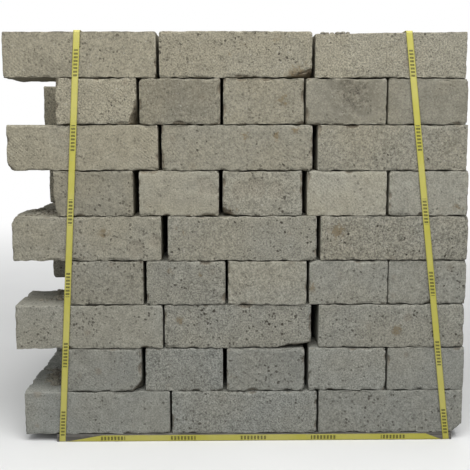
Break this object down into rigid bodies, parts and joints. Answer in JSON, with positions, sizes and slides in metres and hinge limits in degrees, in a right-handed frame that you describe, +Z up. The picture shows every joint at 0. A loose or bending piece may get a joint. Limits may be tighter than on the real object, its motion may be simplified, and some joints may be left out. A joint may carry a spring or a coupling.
{
  "type": "strapped stack of tuff blocks",
  "caption": "Strapped stack of sawn tuff building blocks, laid dry in alternating stretcher and header courses on a thin base panel, for storing and moving masonry stone.",
  "frame": {"origin": "middle of the base panel's underside, on the floor", "axes": "+X along the front from left to right, -Y out of the front face that the picture shows, +Z up"},
  "size_m": [1.1453, 0.9572, 1.0271],
  "materials": {
    "tuff": "sawn, porous and dry",
    "timber": "weathered grey",
    "strapping": "satin polypropylene band"
  },
  "bodies": {
    "root": {"course_1": "tuff", "course_2": "tuff", "course_3": "tuff", "course_4": "tuff", "course_5": "tuff", "course_6": "tuff", "course_7": "tuff", "course_8": "tuff", "course_9": "tuff", "base_panel": "timber", "strap_left": "strapping", "strap_right": "strapping", "strap_foot": "strapping"}
  },
  "joints": []
}
